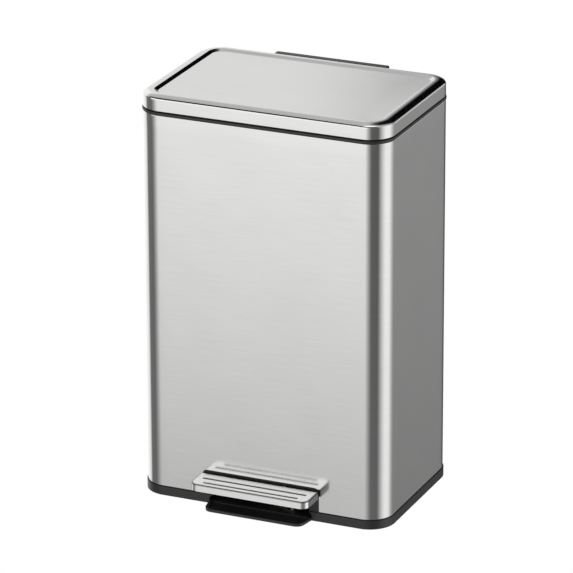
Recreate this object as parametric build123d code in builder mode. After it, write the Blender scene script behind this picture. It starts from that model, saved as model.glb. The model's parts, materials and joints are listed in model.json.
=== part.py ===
from build123d import *

import os
from math import asin, cos, degrees, radians, sin

# Pedal trash can: a steel body with a hinged lid, opened by a front pedal through a lever and a push rod.
# Millimetres, +Z up, -Y the pedal side. The origin is on the floor, under the middle of the whole footprint.
# Every y below is counted from the middle of the body, which stands BODY_Y behind the origin.

# Body
WIDTH = 405.0
DEPTH = 268.0
CORNER = 39.0
BODY_Y = 18.5
FRONT = -DEPTH / 2
BACK = DEPTH / 2
SHEET = 0.6
SHELL_LOW = 16.0
SHELL_TOP = 612.6
FIT = 0.2
RUNNING = 0.05
CUTTER = 2.0

# Collar between the shell and the lid, given as insets from the body's outline
COLLAR_PROUD = 1.0
RIDGE_TOP = 617.3
RIDGE_RADIUS = 1.5
SOCKET = SHEET + FIT
MOULDED = 2.5
COLLAR_LOW = 596.0
UPSTAND_INSET = 3.5
UPSTAND_TOP = 623.0
LEDGE_LOW = 603.5
LEDGE_TOP = 606.0

# Base
TRIM_PROUD = 1.5
TRIM_LOW = 0.5
TRIM_TOP = 14.5
DECK_LOW = 2.5
DECK_TOP = 5.0
SOCKET_TOP = 28.0
TOE_FRONT = -167.0
TOE_HALF_FRONT = 79.5
TOE_HALF_BACK = 85.0
TOE_RADIUS = 13.0
TOE_LIP = 5.0
TOE_FLOOR = 3.0
TOE_DOOR_TOP = 13.5
FOOT_RADIUS = 9.0
FOOT_PLACES = [(x, y) for x in (-175.0, 175.0) for y in (-105.0, 105.0)]
TOE_FOOT_PLACES = [(-66.0, -152.0), (66.0, -152.0)]

# Pedal cut-out and its bezel
CUT_HALF = 96.5
CUT_TOP = 54.2
CUT_RADIUS = 8.0
RIM = 2.0
OPENING_HALF = 80.0
OPENING_TOP = 49.0
OPENING_RADIUS = 6.0
BEZEL_MARGIN = 6.0
BEZEL_GAP = 1.0
BEZEL_FACE = FRONT + SHEET + FIT
BEZEL_LOW = TRIM_TOP + FIT
RIM_REACH = 1.1
WALL_REACH = 5.0

# Lid
SKIRT_LOW = 619.5
LID_EDGE = 640.0
LID_CROWN = 643.0
CROWN_INSET = 17.5
PANEL_INSET = 23.2
LID_SHEET = 0.8
LID_BEND = 2.0
PANEL = 1.0

# Lid hinge
HINGE_Y = 141.0
HINGE_Z = 618.0
HINGE_BACK = 146.0
HINGE_HALF = 93.0
EAR_RADIUS = 5.0
EAR_INNER = 84.0
EAR_WIDTH = 8.0
BARREL_HALF = 82.5
HINGE_PIN_RADIUS = 2.0
BUSH_RADIUS = 3.4
BUSH_LENGTH = 12.0
COVER_LOW = 625.0
HOUSING_LOW = 575.0
HOUSING_TOP = 609.0
HOUSING_SCREW_Z = 586.0
LID_SCREW_Z = 635.0
SCREW_XS = (-70.0, -25.0, 25.0, 70.0)
SCREW_RADIUS = 2.0
SCREW_HOLE = 2.1
SCREW_HEAD = 3.4
LID_SCREW_HEAD = 2.4
BOSS_RADIUS = 4.4
HOUSING_SCREW_END = 142.5
EAR_LOW = 600.0
HOUSING_ROUND = 2.0
COVER_ROUND = 2.0
WEB_HALF = 3.5
LID_SCREW_END = 142.0
HEAD_THICK = 2.0
CLIP = 0.8
CLIP_RADIUS = 4.0

# Lid liner
LINER_INSET = 7.0
LINER_WALL = 2.0
LINER_LOW = 625.0
LINER_TOP = 638.0
LIP_LOW = 629.0
BUMPER_X = 120.0
BUMPER_HALF = 8.0

# Motion: the push rod rises ROD_TRAVEL while the lid opens
CRANK_Y = 119.0
CRANK_Z = 599.5
CRANK_PIN_RADIUS = 2.5
CRANK_HEAD_RADIUS = 3.5
CRANK_SLOT_PLAY = 0.95
ROD_TRAVEL = 37.3
ROD_X = 10.0
ROD_Y = 115.5
ROD_RADIUS = 4.0
PIVOT_Y = -58.0
PIVOT_Z = 32.0
LEVER_ARM = 173.5
LEVER_TILT = degrees(asin(ROD_TRAVEL / 2 / LEVER_ARM))
LEVER_END_Y = PIVOT_Y + LEVER_ARM * cos(radians(LEVER_TILT))
LEVER_END_Z = PIVOT_Z - LEVER_ARM * sin(radians(LEVER_TILT))
HEAD_Z = HINGE_Z - ROD_TRAVEL / 2
LEVER_HALF = 6.0
PIVOT_PIN_RADIUS = 3.0
PIVOT_HEAD_RADIUS = 5.0
PIVOT_PIN_TAIL = 3.0
PIVOT_BOSS = 9.0
END_PIN_RADIUS = 2.0
END_HEAD_RADIUS = 3.0
ROLLER_RADIUS = 4.0

# Pedal
TREAD_HALF = 97.0
TREAD_FRONT = -183.0
TREAD_BACK = -139.4
TREAD_RADIUS = 13.0
TREAD_LOW = 38.5
TREAD_TOP_FRONT = 49.8
TREAD_TOP_BACK = 50.2
TREAD_SHEET = 1.2
GROOVE_RADIUS = 2.0
GROOVE_DEPTH = 0.6
GROOVES = [(-156.5, 85.5), (-172.0, 77.8)]
TREAD_SLOPE = (TREAD_TOP_BACK - TREAD_TOP_FRONT) / (TREAD_BACK - TREAD_FRONT)
CORE_LOW = 40.5
BRACKET_PLATE = 2.0
BRACKET_HALF = 60.0
BRACKET_YS = (-176.0, -143.0)
RIVETS = [(x, y) for x in (-45.0, 45.0) for y in (-167.0, -151.0)]
RIVET_RADIUS = 2.5
RIVET_HEAD = 4.5
RIVET_REACH = 3.0
LEVER_FRONT = -158.0
LEVER_FRONT_LOW = 28.5
LEVER_SHOULDER = -133.2
BUSH_WALL = 1.5
BUSH_FLANGE = 1.5
BUSH_FLANGE_RADIUS = 8.0

# Pivot bracket on the base
EAR_GAP = 8.5
BRACKET_SHEET = 1.6
BRACKET_OUTLINE = [(-40, -30), (-40, -84), (45, -126), (56, -112), (40, -30)]
BRACKET_SCREWS = [(-30.0, -70.0), (-30.0, -40.0), (30.0, -40.0), (47.0, -118.0)]

# Inner bucket
BUCKET_Y = -18.0
BUCKET_LOW = 78.0
BUCKET_TOP = 609.0
BUCKET_WALL = 2.0
BUCKET_MOUTH = (364.0, 212.0, 24.0)
BUCKET_FLOOR = (340.0, 190.0, 26.0)
BUCKET_RIM = (376.0, 224.0, 30.0)
BUCKET_PLAY = 1.5
RIM_THICK = 2.8
GRIP_Z = 580.0
GRIP_LENGTH = 90.0
GRIP_HEIGHT = 24.0

# Mechanism bay behind the bucket
BAY_BACK = BACK - SHEET - FIT
DAMPER_X = 40.0
DAMPER_RADIUS = 11.0
DAMPER_BORE = 9.0
DAMPER_LOW = 380.0
DAMPER_TOP = 560.0
DAMPER_CAP = 4.0
DAMPER_ROD_RADIUS = 3.0
PISTON_Z = 464.0
CROSSHEAD_LOW = 322.0
CROSSHEAD_TOP = 330.0
PISTON_THICK = 10.0
CLAMP_HALF = 14.0
CLAMP_ZS = (400.0, 525.0)
GUIDE_HALF = 10.0
GUIDE_THICK = 12.0
LOWER_GUIDE_Z = 130.0
UPPER_GUIDE_Z = 520.0
COVER_XS = (-14.0, 62.0)
COVER_Y = 96.0
COVER_ZS = (62.0, 595.0)
ROD_SLOT_XS = (-3.0, 19.0)
ROD_SLOT_YS = (104.0, 127.5)

# Push rod ends
ROD_BLOCK = 7.0
EYE_HALF = 2.0
EYE_REACH = 10.0
EYE_LOW = 7.2
FOOT_SLOT_EXTRA = 4.0
FOOT_BLOCK_LOW = LEVER_END_Z + 10.0
FOOT_BLOCK_TOP = LEVER_END_Z + 24.0
ROD_LOW = LEVER_END_Z + 12.0
HEAD_BLOCK_TOP = HEAD_Z - 9.4
HEAD_BLOCK_LOW = HEAD_Z - 21.4
ROD_HIGH = HEAD_Z - 11.4
HEAD_SLOT_LENGTH = 14.0
NUT = 5.0
NUT_RADIUS = 7.0
SMALL_NUT_RADIUS = 6.0
CRANK_XS = (0.5, 3.5)
CRANK_HALF = 4.5
CRANK_FLANGE_X = -12.0
CRANK_FLANGE_YS = (106.0, 124.5)
LEVER_SCREWS = [(-6.0, 109.5), (-6.0, 121.0)]
PIN_END_X = ROD_X + EYE_HALF + 0.6


def level(z):
    """Horizontal plane at a height, with its origin in the middle of the body."""
    return Plane(origin=(0, BODY_Y, z))


def section(x):
    """Upright plane across the body, seen from its right side: local x is y and local y is the height."""
    return Plane(origin=(x, BODY_Y, 0), x_dir=(0, 1, 0), z_dir=(1, 0, 0))


def front(y):
    """Upright plane that faces the pedal side: local x is x and local y is the height."""
    return Plane(origin=(0, BODY_Y + y, 0), x_dir=(1, 0, 0), z_dir=(0, -1, 0))


def plan(inset, z):
    """The body's outline, moved inwards by an inset."""
    with BuildSketch(level(z)) as outline:
        RectangleRounded(WIDTH - 2 * inset, DEPTH - 2 * inset, CORNER - inset)
    return outline.sketch


def band(outer, inner, z):
    """The strip between two insets of the body's outline."""
    with BuildSketch(level(z)) as outline:
        RectangleRounded(WIDTH - 2 * outer, DEPTH - 2 * outer, CORNER - outer)
        RectangleRounded(WIDTH - 2 * inner, DEPTH - 2 * inner, CORNER - inner, mode=Mode.SUBTRACT)
    return outline.sketch


def bucket_plan(size, z, grow=0.0):
    """A rounded rectangle about the bucket's middle: width, depth and corner radius."""
    with BuildSketch(level(z)) as outline:
        with Locations((0, BUCKET_Y)):
            RectangleRounded(size[0] + 2 * grow, size[1] + 2 * grow, size[2] + grow)
    return outline.sketch


def doorway(y, half_width, low, top, radius):
    """An upright opening with rounded upper corners."""
    with BuildSketch(front(y)) as outline:
        with Locations((0, (low + top) / 2)):
            Rectangle(2 * half_width, top - low)
        fillet(outline.vertices().group_by(Axis.Y)[-1], radius)
    return outline.sketch


def block(xs, ys, zs, mode=Mode.ADD):
    """A rectangular block between three pairs of limits."""
    with Locations(((xs[0] + xs[1]) / 2, BODY_Y + (ys[0] + ys[1]) / 2, (zs[0] + zs[1]) / 2)):
        Box(xs[1] - xs[0], ys[1] - ys[0], zs[1] - zs[0], mode=mode)


def bars(plane, centres, radius, length, mode=Mode.ADD):
    """Round bars, or holes, that stand on a plane."""
    with BuildSketch(plane) as discs:
        with Locations(*centres):
            Circle(radius)
    extrude(discs.sketch, amount=length, mode=mode)


def rings(plane, centres, outer, inner, length):
    """Round rings that stand on a plane."""
    bars(plane, centres, outer, length)
    bars(plane, centres, inner, length, mode=Mode.SUBTRACT)


def tread_outline(inset, z):
    """The pedal's plan: square behind, rounded in front."""
    back = TREAD_BACK - inset
    nose = TREAD_FRONT + inset
    with BuildSketch(level(z)) as outline:
        with Locations((0, (back + nose) / 2)):
            Rectangle(2 * (TREAD_HALF - inset), back - nose)
        fillet(outline.vertices().group_by(Axis.Y)[0], TREAD_RADIUS - inset)
    return outline.sketch


def tread_profile(drop):
    """The pedal's side view: flat below and gently sloping on top, lowered by a drop."""
    with BuildSketch(section(-TREAD_HALF)) as side:
        with BuildLine():
            Polyline(
                (TREAD_FRONT, TREAD_LOW),
                (TREAD_BACK, TREAD_LOW),
                (TREAD_BACK, TREAD_TOP_BACK - drop),
                (TREAD_FRONT, TREAD_TOP_FRONT - drop),
                close=True,
            )
        make_face()
    return side.sketch


# Body of the can ---------------------------------------------------------------------------------

with BuildPart() as outer_shell:
    extrude(band(0, SHEET, SHELL_LOW), amount=SHELL_TOP - SHELL_LOW)
    extrude(doorway(FRONT + CUTTER, CUT_HALF, 0, CUT_TOP, CUT_RADIUS), amount=2 * CUTTER, mode=Mode.SUBTRACT)
    bars(front(BACK + CUTTER), [(x, HOUSING_SCREW_Z) for x in SCREW_XS], SCREW_HOLE, 2 * CUTTER,
         mode=Mode.SUBTRACT)

with BuildPart() as top_collar:
    extrude(band(-COLLAR_PROUD, UPSTAND_INSET + MOULDED, SHELL_TOP), amount=RIDGE_TOP - SHELL_TOP)
    flat_faces = top_collar.faces().filter_by(Axis.Z)
    ridge_edges = [edge for face in flat_faces for edge in face.outer_wire().edges()]
    fillet(ridge_edges, RIDGE_RADIUS)
    extrude(band(SOCKET, SOCKET + MOULDED, COLLAR_LOW), amount=SHELL_TOP - COLLAR_LOW)
    extrude(band(UPSTAND_INSET, UPSTAND_INSET + MOULDED, RIDGE_TOP), amount=UPSTAND_TOP - RIDGE_TOP)
    extrude(plan(SOCKET + MOULDED / 2, LEDGE_LOW), amount=LEDGE_TOP - LEDGE_LOW)
    extrude(bucket_plan(BUCKET_MOUTH, LEDGE_LOW, BUCKET_PLAY), amount=MOULDED, mode=Mode.SUBTRACT)
    block(ROD_SLOT_XS, ROD_SLOT_YS, (LEDGE_LOW, LEDGE_TOP), mode=Mode.SUBTRACT)

with BuildPart() as base_tray:
    extrude(plan(-TRIM_PROUD, TRIM_LOW), amount=TRIM_TOP - TRIM_LOW)
    extrude(band(SOCKET, SOCKET + MOULDED, TRIM_TOP), amount=SOCKET_TOP - TRIM_TOP)
    extrude(plan(SOCKET + MOULDED, DECK_TOP), amount=TRIM_TOP - DECK_TOP, mode=Mode.SUBTRACT)
    extrude(plan(SOCKET + MOULDED, TRIM_LOW), amount=DECK_LOW - TRIM_LOW, mode=Mode.SUBTRACT)
    with BuildSketch(level(TRIM_LOW)) as toe:
        with BuildLine():
            Polyline(
                (-TOE_HALF_BACK, FRONT),
                (-TOE_HALF_FRONT, TOE_FRONT),
                (TOE_HALF_FRONT, TOE_FRONT),
                (TOE_HALF_BACK, FRONT),
                close=True,
            )
        make_face()
        fillet(toe.vertices().group_by(Axis.Y)[0], TOE_RADIUS)
    extrude(amount=DECK_TOP - TRIM_LOW)
    with BuildSketch(level(TOE_FLOOR)) as toe_dish:
        with BuildLine():
            Polyline(
                (-TOE_HALF_FRONT, FRONT - TRIM_PROUD),
                (-TOE_HALF_FRONT + TOE_LIP, TOE_FRONT + TOE_LIP),
                (TOE_HALF_FRONT - TOE_LIP, TOE_FRONT + TOE_LIP),
                (TOE_HALF_FRONT, FRONT - TRIM_PROUD),
                close=True,
            )
        make_face()
        fillet(toe_dish.vertices().group_by(Axis.Y)[0], TOE_RADIUS - TOE_LIP)
    extrude(amount=DECK_TOP - TOE_FLOOR, mode=Mode.SUBTRACT)
    extrude(
        doorway(FRONT + WALL_REACH, TOE_HALF_BACK, DECK_TOP, TOE_DOOR_TOP, OPENING_RADIUS),
        amount=2 * WALL_REACH,
        mode=Mode.SUBTRACT,
    )
    block((-OPENING_HALF, OPENING_HALF), (FRONT - WALL_REACH, FRONT + WALL_REACH),
          (DECK_TOP, SOCKET_TOP), mode=Mode.SUBTRACT)
    block((-CUT_HALF - BEZEL_MARGIN - BEZEL_GAP, CUT_HALF + BEZEL_MARGIN + BEZEL_GAP),
          (FRONT, FRONT + WALL_REACH), (TRIM_TOP, SOCKET_TOP), mode=Mode.SUBTRACT)
    bars(level(DECK_LOW), BRACKET_SCREWS, SCREW_HOLE, DECK_TOP - DECK_LOW, mode=Mode.SUBTRACT)

with BuildPart() as pedal_bezel:
    extrude(
        doorway(BEZEL_FACE + MOULDED, CUT_HALF + BEZEL_MARGIN, BEZEL_LOW, CUT_TOP + BEZEL_MARGIN,
                CUT_RADIUS),
        amount=MOULDED,
    )
    extrude(
        doorway(BEZEL_FACE, CUT_HALF - FIT, BEZEL_LOW, CUT_TOP - FIT, CUT_RADIUS - FIT),
        amount=RIM_REACH,
    )
    extrude(
        doorway(BEZEL_FACE, CUT_HALF - RIM, BEZEL_LOW, CUT_TOP - RIM, CUT_RADIUS - RIM),
        amount=RIM_REACH,
        mode=Mode.SUBTRACT,
    )
    extrude(
        doorway(BEZEL_FACE + MOULDED, OPENING_HALF, BEZEL_LOW, OPENING_TOP, OPENING_RADIUS),
        amount=MOULDED,
        mode=Mode.SUBTRACT,
    )

with BuildPart() as base_feet:
    bars(level(0), FOOT_PLACES, FOOT_RADIUS, DECK_LOW)
    bars(level(0), TOE_FOOT_PLACES, FOOT_RADIUS, TRIM_LOW)

with BuildPart() as inner_bucket:
    extrude(bucket_plan(BUCKET_RIM, BUCKET_TOP - RIM_THICK), amount=RIM_THICK)
    loft([bucket_plan(BUCKET_FLOOR, BUCKET_LOW), bucket_plan(BUCKET_MOUTH, BUCKET_TOP)])
    loft(
        [
            bucket_plan(BUCKET_FLOOR, BUCKET_LOW + BUCKET_WALL, -BUCKET_WALL),
            bucket_plan(BUCKET_MOUTH, BUCKET_TOP, -BUCKET_WALL),
        ],
        mode=Mode.SUBTRACT,
    )
    with BuildSketch(section(-WIDTH / 2)) as grips:
        with Locations((BUCKET_Y, GRIP_Z)):
            SlotOverall(GRIP_LENGTH, GRIP_HEIGHT)
    extrude(amount=WIDTH, mode=Mode.SUBTRACT)

# Pedal pivot -------------------------------------------------------------------------------------

with BuildPart() as pivot_bracket:
    with BuildSketch(level(DECK_TOP)) as foot_plate:
        with BuildLine():
            Polyline(*BRACKET_OUTLINE, close=True)
        make_face()
        with Locations(*BRACKET_SCREWS):
            Circle(SCREW_HOLE, mode=Mode.SUBTRACT)
    extrude(amount=BRACKET_SHEET)
    for ear_x in (EAR_GAP, -EAR_GAP - MOULDED):
        with BuildSketch(section(ear_x)) as ear:
            with Locations((PIVOT_Y, (DECK_TOP + PIVOT_Z) / 2)):
                Rectangle(2 * PIVOT_BOSS, PIVOT_Z - DECK_TOP)
            with Locations((PIVOT_Y, PIVOT_Z)):
                Circle(PIVOT_BOSS)
                Circle(PIVOT_PIN_RADIUS + FIT / 2, mode=Mode.SUBTRACT)
        extrude(amount=MOULDED)

with BuildPart() as pivot_bracket_screws:
    bars(level(DECK_LOW), BRACKET_SCREWS, SCREW_RADIUS, DECK_TOP + BRACKET_SHEET - DECK_LOW)
    bars(level(DECK_TOP + BRACKET_SHEET), BRACKET_SCREWS, SCREW_HEAD, HEAD_THICK)

with BuildPart() as lever_pivot_pin:
    bars(section(-EAR_GAP - MOULDED), [(PIVOT_Y, PIVOT_Z)], PIVOT_PIN_RADIUS,
         2 * (EAR_GAP + MOULDED) + PIVOT_PIN_TAIL)
    bars(section(-EAR_GAP - MOULDED - HEAD_THICK), [(PIVOT_Y, PIVOT_Z)], PIVOT_HEAD_RADIUS, HEAD_THICK)

with BuildPart() as lever_pivot_clip:
    rings(section(EAR_GAP + MOULDED + FIT), [(PIVOT_Y, PIVOT_Z)], PIVOT_HEAD_RADIUS,
          PIVOT_PIN_RADIUS + RUNNING, CLIP)

# Mechanism bay -----------------------------------------------------------------------------------

with BuildPart() as rod_cover:
    block(COVER_XS, (COVER_Y, BAY_BACK), COVER_ZS)
    block((COVER_XS[0] + MOULDED, COVER_XS[1] - MOULDED), (COVER_Y + MOULDED, BAY_BACK), COVER_ZS,
          mode=Mode.SUBTRACT)


def rod_guide(low):
    """A block on the back wall with a running hole for the push rod."""
    with BuildPart() as guide:
        block((ROD_X - GUIDE_HALF, ROD_X + GUIDE_HALF), (ROD_Y - GUIDE_HALF, BAY_BACK),
              (low, low + GUIDE_THICK))
        bars(level(low), [(ROD_X, ROD_Y)], ROD_RADIUS + RUNNING, GUIDE_THICK, mode=Mode.SUBTRACT)
    return guide


lower_rod_guide = rod_guide(LOWER_GUIDE_Z)
upper_rod_guide = rod_guide(UPPER_GUIDE_Z)

with BuildPart() as damper_cylinder:
    bars(level(DAMPER_LOW), [(DAMPER_X, ROD_Y)], DAMPER_RADIUS, DAMPER_TOP - DAMPER_LOW)
    bars(level(DAMPER_LOW + DAMPER_CAP), [(DAMPER_X, ROD_Y)], DAMPER_BORE,
         DAMPER_TOP - DAMPER_LOW - 2 * DAMPER_CAP, mode=Mode.SUBTRACT)
    bars(level(DAMPER_LOW), [(DAMPER_X, ROD_Y)], DAMPER_ROD_RADIUS + RUNNING, DAMPER_CAP, mode=Mode.SUBTRACT)

with BuildPart() as damper_clamps:
    for clamp_z in CLAMP_ZS:
        block((DAMPER_X - CLAMP_HALF, DAMPER_X + CLAMP_HALF), (ROD_Y - CLAMP_HALF, BAY_BACK),
              (clamp_z, clamp_z + GUIDE_THICK))
        bars(level(clamp_z), [(DAMPER_X, ROD_Y)], DAMPER_RADIUS + RUNNING, GUIDE_THICK, mode=Mode.SUBTRACT)

# Fixed half of the lid hinge ---------------------------------------------------------------------

with BuildPart() as hinge_housing:
    block((-HINGE_HALF, HINGE_HALF), (BACK + FIT, HINGE_BACK), (HOUSING_LOW, HOUSING_TOP))
    fillet(hinge_housing.edges().filter_by(Axis.X).group_by(Axis.Y)[-1], HOUSING_ROUND)
    fillet(hinge_housing.edges().filter_by(Axis.Y), HOUSING_ROUND)
    block((-HINGE_HALF + MOULDED, HINGE_HALF - MOULDED), (BACK + FIT, HINGE_BACK - MOULDED),
          (HOUSING_LOW + MOULDED, HOUSING_TOP - MOULDED), mode=Mode.SUBTRACT)
    bars(front(HINGE_BACK - MOULDED / 2), [(x, HOUSING_SCREW_Z) for x in SCREW_XS], BOSS_RADIUS,
         HINGE_BACK - MOULDED / 2 - BACK - FIT)
    bars(front(HINGE_BACK - MOULDED), [(x, HOUSING_SCREW_Z) for x in SCREW_XS], SCREW_HOLE,
         HINGE_BACK - MOULDED - BACK - FIT, mode=Mode.SUBTRACT)
    for ear_x in (EAR_INNER, -EAR_INNER - EAR_WIDTH):
        with BuildSketch(section(ear_x)) as hinge_ear:
            with Locations((HINGE_Y, (EAR_LOW + HINGE_Z) / 2)):
                Rectangle(2 * EAR_RADIUS, HINGE_Z - EAR_LOW)
            with Locations((HINGE_Y, HINGE_Z)):
                Circle(EAR_RADIUS)
                Circle(HINGE_PIN_RADIUS + RUNNING, mode=Mode.SUBTRACT)
        extrude(amount=EAR_WIDTH)

with BuildPart() as hinge_housing_screws:
    bars(front(HOUSING_SCREW_END), [(x, HOUSING_SCREW_Z) for x in SCREW_XS], SCREW_RADIUS,
         HOUSING_SCREW_END - BAY_BACK)
    bars(front(BAY_BACK), [(x, HOUSING_SCREW_Z) for x in SCREW_XS], SCREW_HEAD, HEAD_THICK)

with BuildPart() as hinge_pin:
    bars(section(-HINGE_HALF), [(HINGE_Y, HINGE_Z)], HINGE_PIN_RADIUS, 2 * HINGE_HALF)

with BuildPart() as hinge_pin_clips:
    for clip_x in (-EAR_INNER - EAR_WIDTH - CLIP, EAR_INNER + EAR_WIDTH):
        rings(section(clip_x), [(HINGE_Y, HINGE_Z)], CLIP_RADIUS, HINGE_PIN_RADIUS + RUNNING, CLIP)

# Lid ---------------------------------------------------------------------------------------------

with BuildPart() as lid_shell:
    extrude(plan(0, SKIRT_LOW), amount=LID_EDGE - SKIRT_LOW)
    fillet(lid_shell.faces().sort_by(Axis.Z)[-1].outer_wire().edges(), LID_BEND)
    loft([plan(LID_BEND, LID_EDGE), plan(CROWN_INSET, LID_CROWN)])
    loft([plan(PANEL_INSET, LID_EDGE), plan(CROWN_INSET, LID_CROWN)], mode=Mode.SUBTRACT)
    extrude(plan(LID_SHEET, SKIRT_LOW), amount=LID_EDGE - PANEL - SKIRT_LOW, mode=Mode.SUBTRACT)
    bars(front(BACK + CUTTER), [(x, LID_SCREW_Z) for x in SCREW_XS], SCREW_HOLE, 2 * CUTTER,
         mode=Mode.SUBTRACT)

with BuildPart() as lid_liner:
    extrude(band(LID_SHEET + FIT, LINER_INSET + LINER_WALL, LIP_LOW), amount=LINER_WALL)
    extrude(band(LINER_INSET, LINER_INSET + LINER_WALL, LINER_LOW), amount=LINER_TOP - LINER_LOW)
    extrude(plan(LINER_INSET + LINER_WALL / 2, LINER_TOP - LINER_WALL), amount=LINER_WALL)
    bars(level(LINER_TOP - LINER_WALL), LEVER_SCREWS, SCREW_HOLE, LINER_WALL, mode=Mode.SUBTRACT)

with BuildPart() as lid_bumpers:
    for bumper_x in (-BUMPER_X, BUMPER_X):
        block((bumper_x - BUMPER_HALF, bumper_x + BUMPER_HALF),
              (FRONT + UPSTAND_INSET, FRONT + UPSTAND_INSET + MOULDED), (UPSTAND_TOP + FIT, LIP_LOW))
    for side_x in (-WIDTH / 2 + UPSTAND_INSET, WIDTH / 2 - UPSTAND_INSET - MOULDED):
        block((side_x, side_x + MOULDED), (-BUMPER_HALF, BUMPER_HALF), (UPSTAND_TOP + FIT, LIP_LOW))

with BuildPart() as lid_hinge_cover:
    block((-HINGE_HALF, HINGE_HALF), (BACK + FIT, HINGE_BACK), (COVER_LOW, LID_EDGE))
    fillet(lid_hinge_cover.edges().filter_by(Axis.X).group_by(Axis.Z)[-1].sort_by(Axis.Y)[-1:], COVER_ROUND)
    fillet(lid_hinge_cover.edges().filter_by(Axis.Z).group_by(Axis.Y)[-1], COVER_ROUND)
    block((-BARREL_HALF, BARREL_HALF), (HINGE_Y - WEB_HALF, HINGE_Y + WEB_HALF), (HINGE_Z, COVER_LOW))
    bars(section(-BARREL_HALF), [(HINGE_Y, HINGE_Z)], EAR_RADIUS, 2 * BARREL_HALF)
    bars(section(-BARREL_HALF), [(HINGE_Y, HINGE_Z)], HINGE_PIN_RADIUS + FIT, 2 * BARREL_HALF,
         mode=Mode.SUBTRACT)
    for bore_x in (-BARREL_HALF, BARREL_HALF - BUSH_LENGTH):
        bars(section(bore_x), [(HINGE_Y, HINGE_Z)], BUSH_RADIUS + RUNNING, BUSH_LENGTH, mode=Mode.SUBTRACT)
    bars(front(LID_SCREW_END), [(x, LID_SCREW_Z) for x in SCREW_XS], SCREW_HOLE, LID_SCREW_END - BACK,
         mode=Mode.SUBTRACT)

with BuildPart() as lid_hinge_bushes:
    for bush_x in (-BARREL_HALF, BARREL_HALF - BUSH_LENGTH):
        rings(section(bush_x), [(HINGE_Y, HINGE_Z)], BUSH_RADIUS, HINGE_PIN_RADIUS + RUNNING, BUSH_LENGTH)

with BuildPart() as lid_screws:
    bars(front(LID_SCREW_END), [(x, LID_SCREW_Z) for x in SCREW_XS], SCREW_RADIUS,
         LID_SCREW_END - BACK + LID_SHEET)
    bars(front(BACK - LID_SHEET), [(x, LID_SCREW_Z) for x in SCREW_XS], LID_SCREW_HEAD, HEAD_THICK)

with BuildPart() as lid_lever:
    with BuildSketch(section(CRANK_XS[0])) as crank:
        with BuildLine():
            Polyline(
                (CRANK_Y - CRANK_HALF, CRANK_Z),
                (CRANK_Y - CRANK_HALF, LINER_TOP - LINER_WALL),
                (CRANK_Y + CRANK_HALF, LINER_TOP - LINER_WALL),
                (CRANK_Y + CRANK_HALF, CRANK_Z),
                close=True,
            )
        make_face()
        with Locations((CRANK_Y, CRANK_Z)):
            Circle(CRANK_HALF)
            Circle(CRANK_PIN_RADIUS + RUNNING, mode=Mode.SUBTRACT)
    extrude(amount=CRANK_XS[1] - CRANK_XS[0])
    block((CRANK_FLANGE_X, CRANK_XS[1]), CRANK_FLANGE_YS,
          (LINER_TOP - LINER_WALL - MOULDED, LINER_TOP - LINER_WALL))
    bars(level(LINER_TOP - LINER_WALL - MOULDED), LEVER_SCREWS, SCREW_HOLE, MOULDED, mode=Mode.SUBTRACT)

with BuildPart() as lid_lever_screws:
    bars(level(LINER_TOP - LINER_WALL - MOULDED), LEVER_SCREWS, SCREW_RADIUS, MOULDED + LINER_WALL)
    bars(level(LINER_TOP - LINER_WALL - MOULDED - HEAD_THICK), LEVER_SCREWS, SCREW_HEAD, HEAD_THICK)

with BuildPart() as lid_lever_pin:
    bars(section(CRANK_XS[0]), [(CRANK_Y, CRANK_Z)], CRANK_PIN_RADIUS, PIN_END_X - CRANK_XS[0])
    bars(section(CRANK_XS[0] - HEAD_THICK), [(CRANK_Y, CRANK_Z)], CRANK_HEAD_RADIUS, HEAD_THICK)
    bars(section(PIN_END_X), [(CRANK_Y, CRANK_Z)], CRANK_HEAD_RADIUS, HEAD_THICK / 2)

# Pedal -------------------------------------------------------------------------------------------

with BuildPart() as pedal_tread:
    extrude(tread_outline(0, TREAD_LOW), amount=TREAD_TOP_BACK - TREAD_LOW)
    extrude(tread_profile(0), amount=2 * TREAD_HALF, mode=Mode.INTERSECT)
    for groove_y, groove_half in GROOVES:
        groove_z = TREAD_TOP_FRONT + TREAD_SLOPE * (groove_y - TREAD_FRONT) - GROOVE_DEPTH
        with BuildSketch(level(groove_z)) as groove:
            with Locations((0, groove_y)):
                SlotOverall(2 * groove_half, 2 * GROOVE_RADIUS)
        extrude(amount=TREAD_SHEET, mode=Mode.SUBTRACT)

with BuildPart() as tread_hollow:
    extrude(tread_outline(TREAD_SHEET, TREAD_LOW), amount=TREAD_TOP_BACK - TREAD_LOW)
    extrude(tread_profile(TREAD_SHEET), amount=2 * TREAD_HALF, mode=Mode.INTERSECT)

with pedal_tread:
    add(tread_hollow.part, mode=Mode.SUBTRACT)

with BuildPart() as pedal_core:
    extrude(tread_outline(TREAD_SHEET + FIT, CORE_LOW), amount=TREAD_TOP_BACK - CORE_LOW)
    extrude(tread_profile(TREAD_SHEET + FIT), amount=2 * TREAD_HALF, mode=Mode.INTERSECT)
    bars(level(CORE_LOW), RIVETS, RIVET_RADIUS + FIT / 2, RIVET_REACH, mode=Mode.SUBTRACT)

with BuildPart() as pedal_bracket:
    block((-BRACKET_HALF, BRACKET_HALF), BRACKET_YS, (CORE_LOW - BRACKET_PLATE, CORE_LOW))
    bars(level(CORE_LOW - BRACKET_PLATE), RIVETS, RIVET_RADIUS + FIT / 2, BRACKET_PLATE, mode=Mode.SUBTRACT)

with BuildPart() as pedal_rivets:
    bars(level(CORE_LOW - BRACKET_PLATE), RIVETS, RIVET_RADIUS, BRACKET_PLATE + RIVET_REACH)
    bars(level(CORE_LOW - BRACKET_PLATE - HEAD_THICK / 2), RIVETS, RIVET_HEAD, HEAD_THICK / 2)

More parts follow.
